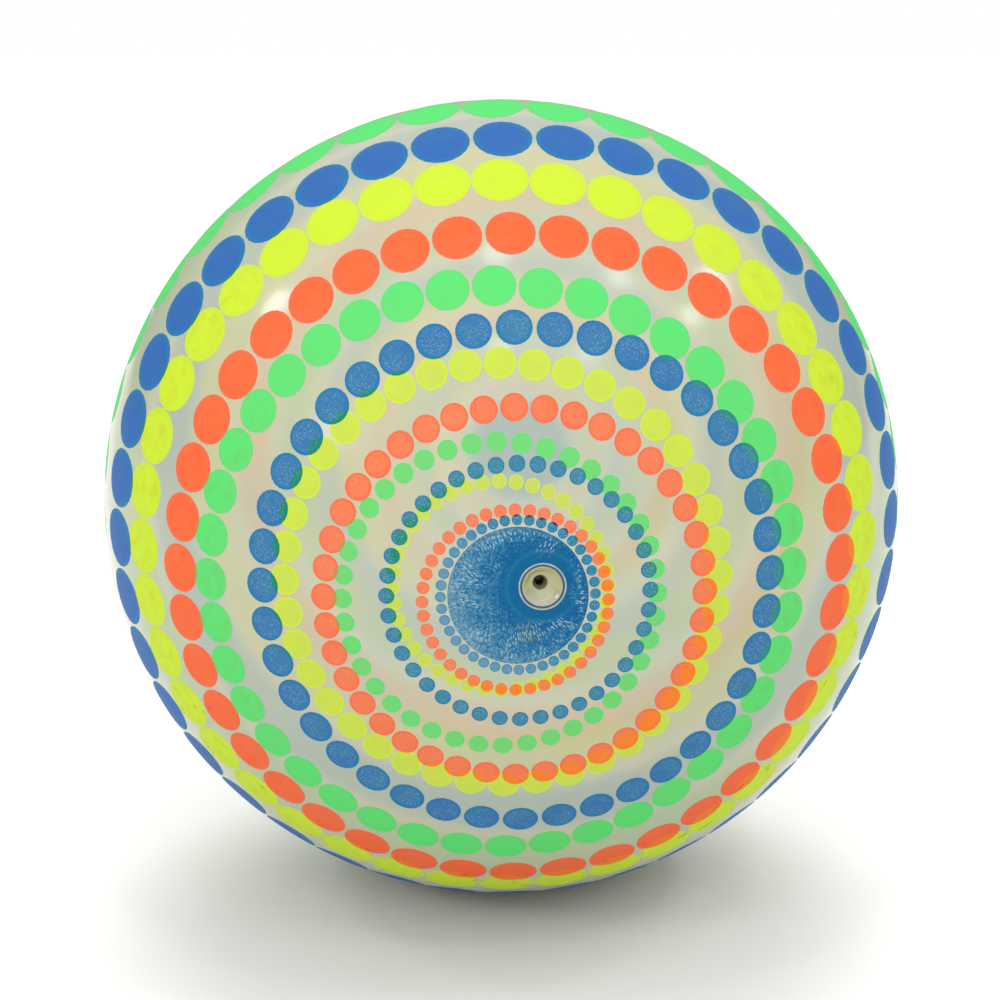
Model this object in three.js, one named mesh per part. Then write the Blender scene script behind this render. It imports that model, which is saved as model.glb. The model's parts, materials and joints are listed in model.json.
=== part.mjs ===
// A hollow play ball: a skin of soft milky vinyl, cast around a valve seat that a push-in plug closes.
// Millimetres, +Z up. The origin is the ball's centre. The valve lies on the Y axis, and its mouth faces -Y.
import * as THREE from "three";

// Skin
const BALL_DIAMETER = 225;
const SKIN_WALL = 0.6;
const SKIN_BEAD_WIDTH = 0.5; // raised round edge of the valve hole
const SKIN_BEAD_HEIGHT = 0.12;

// Plug: a head in the seat's recess, a tapered stem in its bore, and a blind hole for the needle
const HEAD_DIAMETER = 10.1;
const HEAD_EDGE_THICKNESS = 1.3;
const HEAD_CROWN = 0.3; // rise of the flat land above the head's edge
const LAND_DIAMETER = 6.4; // flat land that a needle's shoulder meets
const STEM_LENGTH = 11;
const STEM_TOP_DIAMETER = 7.2;
const STEM_TIP_DIAMETER = 6.6;
const STEM_TIP_CHAMFER = 0.8;
const NEEDLE_HOLE_DIAMETER = 2.3;
const NEEDLE_FUNNEL_DIAMETER = 3.6;
const NEEDLE_FUNNEL_DEPTH = 1.5;
const NEEDLE_WEB = 3; // solid tip that closes behind the needle

// Seat: a lip around the plug's head, a flange behind the skin, and a tube that grips the stem
const SEAT_LIP_WIDTH = 0.4;
const SEAT_FLANGE_WIDTH = 3.2; // beyond the tube
const SEAT_FLANGE_THICKNESS = 1.6;
const SEAT_FLANGE_FILLET = 1.2;
const SEAT_TUBE_WALL = 2.2;
const SEAT_TAIL = 1.5; // tube beyond the plug's tip

// Clearances
const BOND_GAP = 0.3; // skin to seat
const HEAD_SIDE_CLEARANCE = 0.25;
const HEAD_SEAT_CLEARANCE = 0.1;
const HEAD_RECESS = 0.15; // head's edge below the seat's lip
const STEM_CLEARANCE = 0.15;

// Facets
const SKIN_FACETS = 60;
const VALVE_FACETS = 40;
const QUARTER_STEPS = 15; // steps along a quarter of a meridian
const FLANGE_STEPS = 2;

const QUARTER_TURN = Math.PI / 2;
const HALF_TURN = Math.PI;

// Radii, measured from the valve's axis
const headRadius = HEAD_DIAMETER / 2;
const recessRadius = headRadius + HEAD_SIDE_CLEARANCE;
const neckRadius = recessRadius + SEAT_LIP_WIDTH;
const holeRadius = neckRadius + BOND_GAP;
const beadRadius = holeRadius + SKIN_BEAD_WIDTH;
const stemTopRadius = STEM_TOP_DIAMETER / 2;
const stemTipRadius = STEM_TIP_DIAMETER / 2;
const tubeRadius = Math.max(stemTopRadius, stemTipRadius) + STEM_CLEARANCE + SEAT_TUBE_WALL;
const flangeRadius = Math.max(tubeRadius, neckRadius) + SEAT_FLANGE_WIDTH;
const filletRadius = Math.min(tubeRadius + SEAT_FLANGE_FILLET, flangeRadius);

// Radii, measured from the ball's centre
const outerRadius = BALL_DIAMETER / 2;
const innerRadius = outerRadius - SKIN_WALL;
const bondRadius = innerRadius - BOND_GAP;

// Heights, measured from the ball's centre towards the valve's mouth
const lipFace = heightOn(outerRadius, holeRadius);
const headEdge = lipFace - HEAD_RECESS;
const land = headEdge + HEAD_CROWN;
const headUnderside = headEdge - HEAD_EDGE_THICKNESS;
const recessFloor = headUnderside - HEAD_SEAT_CLEARANCE;
const stemTip = headUnderside - STEM_LENGTH;
const tubeEnd = stemTip - SEAT_TAIL;
const flangeBack = Math.min(heightOn(bondRadius, flangeRadius), recessFloor) - SEAT_FLANGE_THICKNESS;

/** Height of a sphere about the ball's centre, at a distance from the valve's axis. */
function heightOn(sphereRadius, axisDistance) {
  return Math.sqrt(sphereRadius ** 2 - axisDistance ** 2);
}

/** A profile point at a distance from the valve's axis and a height towards its mouth. */
function at(axisDistance, height) {
  return new THREE.Vector2(axisDistance, -height);
}

/** Points of a meridian between two angles from the valve's axis, with both ends. */
function meridian(sphereRadius, fromAngle, toAngle, steps) {
  const points = [];
  for (let step = 0; step <= steps; step += 1) {
    const angle = fromAngle + ((toAngle - fromAngle) * step) / steps;
    const onAxis = angle === 0 || angle === HALF_TURN;
    points.push(at(onAxis ? 0 : sphereRadius * Math.sin(angle), sphereRadius * Math.cos(angle)));
  }
  return points;
}

/** Points of a meridian from a round hole about the valve's axis to the far pole, by way of the equator. */
function holeToFarPole(sphereRadius, radiusOfHole) {
  const edgeAngle = Math.asin(radiusOfHole / sphereRadius);
  const near = meridian(sphereRadius, edgeAngle, QUARTER_TURN, QUARTER_STEPS);
  const far = meridian(sphereRadius, QUARTER_TURN, HALF_TURN, QUARTER_STEPS);
  return [...near, ...far.slice(1)];
}

/** A named piece turned about the valve's axis. */
function turned(name, profile, facets, material) {
  const piece = new THREE.Mesh(new THREE.LatheGeometry(profile, facets), material);
  piece.name = name;
  return piece;
}

/** The cast skin: a thin round wall with one hole, whose edge stands up as a bead. */
function makeSkin() {
  const beadSlope = SKIN_BEAD_WIDTH / 4;
  const beadTop = heightOn(outerRadius, beadRadius) + SKIN_BEAD_HEIGHT;
  const profile = [
    ...holeToFarPole(innerRadius, holeRadius).reverse(),
    at(holeRadius, heightOn(outerRadius, holeRadius)),
    at(holeRadius + beadSlope, beadTop),
    at(beadRadius - beadSlope, beadTop),
    ...holeToFarPole(outerRadius, beadRadius),
  ];
  const vinyl = new THREE.MeshStandardMaterial({ color: 0xd3d2b9, roughness: 0.3, metalness: 0 });
  return turned("ball_skin", profile, SKIN_FACETS, vinyl);
}

/** The valve seat: a flanged tube behind the skin, whose lip shows around the plug's head. */
function makeSeat() {
  const neckAngle = Math.asin(neckRadius / bondRadius);
  const flangeAngle = Math.asin(flangeRadius / bondRadius);
  const profile = [
    at(recessRadius, lipFace),
    at(neckRadius, lipFace),
    ...meridian(bondRadius, neckAngle, flangeAngle, FLANGE_STEPS),
    at(flangeRadius, flangeBack),
    at(filletRadius, flangeBack),
    at(tubeRadius, flangeBack - SEAT_FLANGE_FILLET),
    at(tubeRadius, tubeEnd),
    at(stemTipRadius + STEM_CLEARANCE, tubeEnd),
    at(stemTipRadius + STEM_CLEARANCE, stemTip),
    at(stemTopRadius + STEM_CLEARANCE, recessFloor),
    at(recessRadius, recessFloor),
    at(recessRadius, lipFace),
  ];
  const vinyl = new THREE.MeshStandardMaterial({ color: 0x3f79b0, roughness: 0.4, metalness: 0 });
  return turned("valve_seat", profile, VALVE_FACETS, vinyl);
}

/** The plug: a low-crowned head on a tapered stem, with a funnel that leads a needle into a blind hole. */
function makePlug() {
  const needleRadius = NEEDLE_HOLE_DIAMETER / 2;
  const funnelRadius = NEEDLE_FUNNEL_DIAMETER / 2;
  const profile = [
    at(0, stemTip + NEEDLE_WEB),
    at(needleRadius, stemTip + NEEDLE_WEB),
    at(needleRadius, land - NEEDLE_FUNNEL_DEPTH),
    at(funnelRadius, land),
    at(LAND_DIAMETER / 2, land),
    at(headRadius, headEdge),
    at(headRadius, headUnderside),
    at(stemTopRadius, headUnderside),
    at(stemTipRadius, stemTip + STEM_TIP_CHAMFER),
    at(stemTipRadius - STEM_TIP_CHAMFER, stemTip),
    at(0, stemTip),
  ];
  const cream = new THREE.MeshStandardMaterial({ color: 0xcfc9a4, roughness: 0.25, metalness: 0 });
  return turned("valve_plug", profile, VALVE_FACETS, cream);
}

const ball = new THREE.Group();
ball.add(makeSkin(), makeSeat(), makePlug());

export default ball;
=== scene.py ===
"""A play ball of milky vinyl, sprayed through four masks with rings of dots, built around its frame."""

import json
import logging
import math
from dataclasses import dataclass
from enum import Enum
from typing import Union

import bpy
from mathutils import Matrix, Vector

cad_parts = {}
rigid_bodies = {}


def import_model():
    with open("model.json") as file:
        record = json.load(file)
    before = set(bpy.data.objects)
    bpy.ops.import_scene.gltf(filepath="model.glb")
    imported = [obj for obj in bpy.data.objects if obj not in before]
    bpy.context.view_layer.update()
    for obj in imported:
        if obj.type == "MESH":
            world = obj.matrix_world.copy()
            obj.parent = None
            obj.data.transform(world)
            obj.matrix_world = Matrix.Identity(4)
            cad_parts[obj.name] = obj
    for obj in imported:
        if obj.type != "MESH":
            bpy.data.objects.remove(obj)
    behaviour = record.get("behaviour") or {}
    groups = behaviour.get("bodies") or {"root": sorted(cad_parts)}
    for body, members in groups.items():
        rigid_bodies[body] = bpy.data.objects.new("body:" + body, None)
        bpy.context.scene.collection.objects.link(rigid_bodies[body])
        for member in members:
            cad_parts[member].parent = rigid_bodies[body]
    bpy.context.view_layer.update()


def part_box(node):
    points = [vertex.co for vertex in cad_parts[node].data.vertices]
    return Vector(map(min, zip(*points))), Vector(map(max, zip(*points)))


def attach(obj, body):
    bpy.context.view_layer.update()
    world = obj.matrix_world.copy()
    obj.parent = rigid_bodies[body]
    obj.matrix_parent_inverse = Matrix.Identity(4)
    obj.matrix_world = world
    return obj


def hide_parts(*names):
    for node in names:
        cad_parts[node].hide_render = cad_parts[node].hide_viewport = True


MM = 0.001
FULL_TURN = 2 * math.pi
BALL_BODY = "ball"
PLUG_BODY = "plug"
RIGHT = Vector((1, 0, 0))
UP = Vector((0, 0, 1))
TO_MOUTH = Vector((0, -1, 0))

# What the skin, the valve and the print share
SKIN_WALL = 0.6 * MM
HOLE_RADIUS = 5.45 * MM
BEAD_WIDTH = 0.4 * MM

# Modelling
SMOOTH_ANGLE = math.radians(35)
MERGE_DISTANCE = 0.001 * MM
PICK_TOLERANCE = 0.01 * MM

Colour = tuple[float, float, float, float]
Profile = list[tuple[float, float]]
Span = tuple[float, float]
Number = Union[float, "Field"]

WHITE: Colour = (1.0, 1.0, 1.0, 1.0)

log = logging.getLogger("play_ball")


def srgb(red: int, green: int, blue: int) -> Colour:
    """Turn a colour as a screen shows it into the linear colour that shaders take.

    Args:
        red: Red, from 0 to 255.
        green: Green, from 0 to 255.
        blue: Blue, from 0 to 255.

    Returns:
        The linear colour, opaque.
    """
    def linear(level: int) -> float:
        """Undo the screen's curve for one channel."""
        share = level / 255
        return share / 12.92 if share <= 0.04045 else ((share + 0.055) / 1.055) ** 2.4

    return (linear(red), linear(green), linear(blue), 1.0)


def toward(azimuth: float, elevation: float) -> Vector:
    """Give the way from the ball to a viewer.

    Args:
        azimuth: Where the viewer stands, in degrees; 0 faces the valve.
        elevation: How high the viewer looks from, in degrees.

    Returns:
        A vector of length 1.
    """
    azimuth, elevation = math.radians(azimuth), math.radians(elevation)
    flat = math.cos(elevation)
    return Vector((math.sin(azimuth) * flat, -math.cos(azimuth) * flat, math.sin(elevation)))


# Shader expressions


class Field:
    """A shader socket that grows Math nodes as it is reckoned with."""

    def __init__(self, graph: "Graph", socket: bpy.types.NodeSocket | None) -> None:
        """Keep the socket, which a node that ends a tree lacks, and the graph that new nodes go into."""
        self.graph = graph
        self.socket = socket

    def math(self, operation: str, *others: Number) -> "Field":
        """Add a Math node fed by this field first.

        Args:
            operation: The Math node's operation.
            others: Its further values, numbers or fields.

        Returns:
            The node's result.
        """
        values = dict(enumerate((self, *others)))
        return self.graph.node("Math", {"operation": operation}, values)

    def __add__(self, other: Number) -> "Field":
        """Give this plus other."""
        return self.math("ADD", other)

    __radd__ = __add__

    def __sub__(self, other: Number) -> "Field":
        """Give this less other."""
        return self.math("SUBTRACT", other)

    def __rsub__(self, other: float) -> "Field":
        """Give a number less this."""
        return self.graph.node("Math", {"operation": "SUBTRACT"}, {0: other, 1: self})

    def __mul__(self, other: Number) -> "Field":
        """Give this times other."""
        return self.math("MULTIPLY", other)

    __rmul__ = __mul__

    def __truediv__(self, other: Number) -> "Field":
        """Give this over other."""
        return self.math("DIVIDE", other)

    def __pow__(self, power: float) -> "Field":
        """Give this to a power."""
        return self.math("POWER", power)

    def ramp(self, low: float, high: float) -> "Field":
        """Rise smoothly from 0 at low to 1 at high, or fall where low is above high."""
        values = {"Value": self, "From Min": low, "From Max": high}
        return self.graph.node("MapRange", {"interpolation_type": "SMOOTHSTEP"}, values)


class Graph:
    """The node tree of one material or world, filled by expressions."""

    def __init__(self, tree: bpy.types.NodeTree) -> None:
        """Empty the tree and keep it."""
        self.tree = tree
        tree.nodes.clear()

    def node(self, kind: str, settings: dict | None = None, sockets: dict | None = None,
             output: int | str = 0) -> Field:
        """Make a node, set it up and feed it.

        Args:
            kind: The node's type, without the words ShaderNode.
            settings: Its own settings; stops holds a colour ramp's places and colours.
            sockets: Values or fields for its inputs, by name or index.
            output: The output to give back, by name or index.

        Returns:
            That output.
        """
        made = self.tree.nodes.new("ShaderNode" + kind)
        for name, value in (settings or {}).items():
            if name == "stops":
                self.set_stops(made.color_ramp, value)
            else:
                setattr(made, name, value)
        for name, value in (sockets or {}).items():
            if isinstance(value, Field):
                self.tree.links.new(value.socket, made.inputs[name])
            else:
                made.inputs[name].default_value = value
        return Field(self, made.outputs[output] if len(made.outputs) else None)

    @staticmethod
    def set_stops(ramp: bpy.types.ColorRamp, stops: tuple[tuple[float, Colour], ...]) -> None:
        """Give a colour ramp its stops.

        Args:
            ramp: The ramp.
            stops: The place, from 0 to 1, and the colour of each stop.
        """
        while len(ramp.elements) < len(stops):
            ramp.elements.new(1.0)
        for element, (place, colour) in zip(ramp.elements, stops):
            element.position = place
            element.color = colour

    def place(self) -> Field:
        """Give the place on the piece, in metres."""
        return self.node("TexCoord", output="Object")

    def vector(self, operation: str, first: Field, second: "Field | Vector | None" = None) -> Field:
        """Add a Vector Math node that gives a vector, on one vector or two."""
        values = {0: first} if second is None else {0: first, 1: second}
        return self.node("VectorMath", {"operation": operation}, values, "Vector")

    def measure(self, operation: str, first: Field, second: Vector) -> Field:
        """Add a Vector Math node that gives a number, on a vector and a fixed one."""
        values = {0: first, 1: tuple(second)}
        return self.node("VectorMath", {"operation": operation}, values, "Value")

    def dot(self, vector: Field, axis: Vector) -> Field:
        """Give how far a vector reaches along an axis."""
        return self.measure("DOT_PRODUCT", vector, axis)

    def mix(self, share: Number, first: "Field | Colour", second: "Field | Colour",
            blend: str = "MIX") -> Field:
        """Blend two colours.

        Args:
            share: How much of the second shows.
            first: The colour at 0.
            second: The colour at 1.
            blend: The Mix node's blend type.

        Returns:
            The blended colour.
        """
        settings = {"data_type": "RGBA", "blend_type": blend}
        # The Mix node has sockets for each data type; its colours come in at 6 and 7 and go out at 2.
        return self.node("Mix", settings, {0: share, 6: first, 7: second}, 2)

    def from_valve(self, place: Field, beside: tuple[float, float] = (0.0, 0.0)) -> Field:
        """Measure from the valve's axis, or from a line beside it.

        Args:
            place: The place on the piece.
            beside: How far the line lies to the right of the axis, and up.

        Returns:
            The distance, in metres.
        """
        sideways = self.dot(place, RIGHT) - beside[0]
        upward = self.dot(place, UP) - beside[1]
        return (sideways * sideways + upward * upward).math("SQRT")

    def bump(self, height: Field, distance: float, strength: float) -> Field:
        """Give a normal that a height field raises by up to a distance in metres."""
        return self.node("Bump", None, {"Height": height, "Distance": distance, "Strength": strength})

    def surface(self, sockets: dict) -> None:
        """End the tree in one Principled shader with these inputs."""
        shader = self.node("BsdfPrincipled", None, sockets)
        self.node("OutputMaterial", None, {"Surface": shader})


def new_graph(name: str) -> tuple[bpy.types.Material, Graph]:
    """Make a material with an empty graph.

    Args:
        name: The material's name.

    Returns:
        The material and its graph.
    """
    material = bpy.data.materials.new(name)
    material.use_nodes = True
    return material, Graph(material.node_tree)


@dataclass(frozen=True)
class Mottle:
    """A patchy noise: the size of its lumps, its detail, and the ramp that patches are read through."""

    size: float
    detail: float
    span: Span = (0.0, 1.0)

    def noise(self, place: Field) -> Field:
        """Give the bare noise, from 0 to 1, with lumps of about its size in the place's unit."""
        values = {"Vector": place, "Scale": 1 / self.size, "Detail": self.detail}
        return place.graph.node("TexNoise", None, values)

    def swing(self, place: Field) -> Field:
        """Give the noise as a swing to both sides of 0."""
        return self.noise(place) - 0.5

    def patches(self, place: Field) -> Field:
        """Give the noise as patches: 0 off them, 1 on them."""
        return self.noise(place).ramp(*self.span)


# The sprayed print


class Ink(Enum):
    """The sprayed inks, in the order in which they went on."""

    YELLOW = "yellow"
    GREEN = "green"
    ORANGE = "orange"
    BLUE = "blue"


class Side(Enum):
    """The two halves of the ball, each sprayed by itself. The value is the way of its pole along Y."""

    VALVE = -1
    FAR = 1


@dataclass(frozen=True)
class Register:
    """Where a mask sat, in degrees: how its pole leans from the valve's axis, and its turn about it."""

    right: float
    up: float
    turn: float

    def slipped(self, slip: tuple[float, float]) -> "Register":
        """Give this register with a slip added, to the right and up."""
        return Register(self.right + slip[0], self.up + slip[1], self.turn)

    def frame(self, side: Side) -> Matrix:
        """Give the mask's frame: X to the right, Z along its pole.

        Args:
            side: The half that it was sprayed on.

        Returns:
            A rotation from the mask's frame to the ball's.
        """
        right, up = math.radians(self.right), math.radians(self.up)
        flat = math.cos(up)
        pole = Vector((math.sin(right) * flat, side.value * math.cos(right) * flat, math.sin(up)))
        across = (RIGHT - RIGHT.dot(pole) * pole).normalized()
        turned = Matrix.Rotation(math.radians(self.turn), 3, "Z")
        return Matrix((across, pole.cross(across), pole)).transposed() @ turned


@dataclass(frozen=True)
class Ring:
    """One ring of dots: its ink, its angle from the mask's pole, and how much of its pitch a dot fills.

    The slip is how far the ring sits from the rest of its mask, to the right and up. Angles are in degrees.
    """

    ink: Ink
    angle: float
    fill: float
    slip: tuple[float, float] = (0.0, 0.0)


@dataclass(frozen=True)
class PrintLayout:
    """The pattern that both halves share: a round cap and rings of dots that grow away from it."""

    dots_in_ring: int = 40
    cap_angle: float = 8.75
    pole_stretch: float = 1.03
    stretch: float = 0.8
    rings: tuple[Ring, ...] = (
        Ring(Ink.BLUE, 9.6, 0.88),
        Ring(Ink.ORANGE, 11.6, 0.88, (-0.26, 0.2)),
        Ring(Ink.YELLOW, 13.4, 0.9, (-0.44, 0.16)),
        Ring(Ink.BLUE, 16.6, 0.8, (0.15, -0.1)),
        Ring(Ink.GREEN, 20.0, 0.83),
        Ring(Ink.ORANGE, 24.6, 0.93, (-0.17, -0.1)),
        Ring(Ink.YELLOW, 28.4, 0.96, (-0.22, 0.0)),
        Ring(Ink.BLUE, 34.3, 0.91, (0.4, -0.35)),
        Ring(Ink.GREEN, 40.7, 0.96),
        Ring(Ink.ORANGE, 49.2, 0.95, (0.12, 0.0)),
        Ring(Ink.YELLOW, 57.2, 1.0, (0.2, 0.38)),
        Ring(Ink.BLUE, 68.8, 0.95, (0.55, 0.2)),
        Ring(Ink.GREEN, 84.5, 1.0),
    )

    def rings_of(self, ink: Ink) -> list[Ring]:
        """Give the rings of one ink."""
        return [ring for ring in self.rings if ring.ink is ink]

    def cap_edge(self) -> float:
        """Give the angle from the pole to the cap's edge, in radians."""
        return math.radians(self.cap_angle)

    def half_pitch(self) -> float:
        """Give half the turn from one dot of a ring to the next, in radians."""
        return math.pi / self.dots_in_ring

    def dot_width(self, ring: Ring) -> float:
        """Give the half width of a dot along its ring, as an angle at the ball's centre, in radians."""
        return self.half_pitch() * math.sin(math.radians(ring.angle)) * ring.fill

    def dot_stretch(self, ring: Ring) -> float:
        """Give how much longer than wide a dot is: the mask stands off the ball away from its pole."""
        return self.pole_stretch + self.stretch * (1 - math.cos(math.radians(ring.angle))) ** 2

    def dot_reach(self, ring: Ring) -> float:
        """Give the half length of a dot across its ring, as an angle at the ball's centre, in radians."""
        return self.dot_width(ring) * self.dot_stretch(ring)


LAYOUT = PrintLayout()
REGISTERS: dict[Side, dict[Ink, Register]] = {
    Side.VALVE: {
        Ink.YELLOW: Register(-4.8, -0.45, 0.55),
        Ink.GREEN: Register(-5.3, -2.05, 1.3),
        Ink.ORANGE: Register(-3.05, -2.25, 0.5),
        Ink.BLUE: Register(-3.0, -1.25, 0.9),
    },
    Side.FAR: {
        Ink.YELLOW: Register(7.4, -2.6, 3.0),
        Ink.GREEN: Register(8.9, -2.2, 1.0),
        Ink.ORANGE: Register(9.2, -3.7, 2.2),
        Ink.BLUE: Register(8.3, -3.3, 4.0),
    },
}


class MaskField:
    """Where a place on the ball lies on one mask's pattern."""

    DOT_EDGE: Span = (1.03, 0.97)
    BLUR = math.radians(2.4)

    def __init__(self, graph: Graph, side: Side, ink: Ink, place: Field) -> None:
        """Keep the mask, the place and the way there from the ball's centre.

        Args:
            graph: The graph to add to.
            side: The sprayed half.
            ink: The mask's ink.
            place: The place, from the ball's centre.
        """
        self.graph = graph
        self.side = side
        self.ink = ink
        self.place = place
        self.outward = graph.vector("NORMALIZE", place)

    def along(self, axis: int, slip: tuple[float, float] = (0.0, 0.0)) -> Field:
        """Give how far the way reaches along an axis of the mask's frame, for a ring with a slip."""
        frame = REGISTERS[self.side][self.ink].slipped(slip).frame(self.side)
        return self.graph.dot(self.outward, frame.col[axis])

    def polar(self, slip: tuple[float, float] = (0.0, 0.0)) -> Field:
        """Give the angle from the mask's pole, in radians."""
        return self.along(2, slip).math("ARCCOSINE")

    def round(self, slip: tuple[float, float] = (0.0, 0.0)) -> Field:
        """Give the way round the mask's pole, in radians."""
        return self.along(1, slip).math("ARCTAN2", self.along(0, slip))

    def streaks(self, round_scale: float, polar_scale: float) -> Field:
        """Give a flat place on the mask, scaled round its pole and away from it, for drawn-out marks."""
        places = {0: self.round() * round_scale, 1: self.polar() * polar_scale, 2: 0.0}
        return self.graph.node("CombineXYZ", None, places)

    def spread(self) -> Field:
        """Measure outwards over this ink's dots.

        Returns:
            0 at a dot's centre and 1 on its rim, past which it goes on rising.
        """
        half_pitch = LAYOUT.half_pitch()
        nearest: Field | None = None
        for ring in LAYOUT.rings_of(self.ink):
            along = self.round(ring.slip).math("PINGPONG", half_pitch) / half_pitch
            across = self.polar(ring.slip) - math.radians(ring.angle)
            spread = (across / LAYOUT.dot_reach(ring)) ** 2 + (along / ring.fill) ** 2
            nearest = spread if nearest is None else nearest.math("MINIMUM", spread)
        return nearest.math("SQRT")

    def cover(self) -> Field:
        """Give 1 on this ink's dots, with a slightly soft edge, and 0 off them."""
        return self.spread().ramp(*self.DOT_EDGE)

    def painted_show_through(self) -> Field:
        """Blur the print for the painted show-through light that it lends the skin across the ball.

        Returns:
            A soft band along each ring of this ink, and a soft spot for the blue cap.
        """
        edge, blur = LAYOUT.cap_edge(), self.BLUR
        painted_show_through = self.polar().ramp(edge + blur, edge - blur) if self.ink is Ink.BLUE else None
        for ring in LAYOUT.rings_of(self.ink):
            reach = LAYOUT.dot_reach(ring)
            away = (self.polar(ring.slip) - math.radians(ring.angle)).math("ABSOLUTE")
            band = away.ramp(reach + blur, max(reach - blur, 0)) * (reach / (reach + blur))
            painted_show_through = band if painted_show_through is None else painted_show_through.math("MAXIMUM", band)
        return painted_show_through


@dataclass(frozen=True)
class Scuffs:
    """The few dark scuffs low on the outer rings, drawn out along them.

    Spans are the ends of ramps: of the noise, of the reach upwards, and of the angle from the mask's pole.
    """

    colour: Colour = srgb(44, 62, 26)
    share: float = 0.85
    round_scale: float = 13
    polar_scale: float = 64
    marks: Mottle = Mottle(1.0, 3, (0.66, 0.71))
    low: Span = (-0.1, -0.4)
    inner: Span = (0.8, 0.92)
    outer: Span = (1.16, 1.06)

    def over(self, mask: MaskField, colour: Field) -> Field:
        """Scuff a colour.

        Args:
            mask: The ink's mask.
            colour: The clean colour.

        Returns:
            The scuffed colour.
        """
        polar = mask.polar()
        upward = mask.along(1) * -mask.side.value
        where = upward.ramp(*self.low) * polar.ramp(*self.inner) * polar.ramp(*self.outer)
        marks = self.marks.patches(mask.streaks(self.round_scale, self.polar_scale))
        return mask.graph.mix(marks * where * self.share, colour, self.colour)


@dataclass(frozen=True)
class FirstRing:
    """The washed-out ring next to the cap, palest on its left. Its reach is in cap radii."""

    pale: Colour = srgb(104, 154, 184)
    deep: Colour = srgb(44, 130, 166)
    share: float = 0.75
    slant_right: float = 0.5
    slant_up: float = 0.3
    slant: Span = (-0.45, 0.25)
    reach: Span = (1.24, 1.2)

    def over(self, mask: MaskField, colour: Field) -> Field:
        """Wash out the first ring's colour.

        Args:
            mask: The blue ink's mask.
            colour: The colour of the dots.

        Returns:
            The washed colour.
        """
        edge = LAYOUT.cap_edge()
        slant = (mask.along(0) * self.slant_right + mask.along(1) * self.slant_up) / math.sin(edge)
        wash = mask.graph.mix(slant.ramp(*self.slant), self.pale, self.deep)
        ring = mask.polar().ramp(edge * self.reach[0], edge * self.reach[1])
        return mask.graph.mix(ring * self.share, colour, wash)


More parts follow.
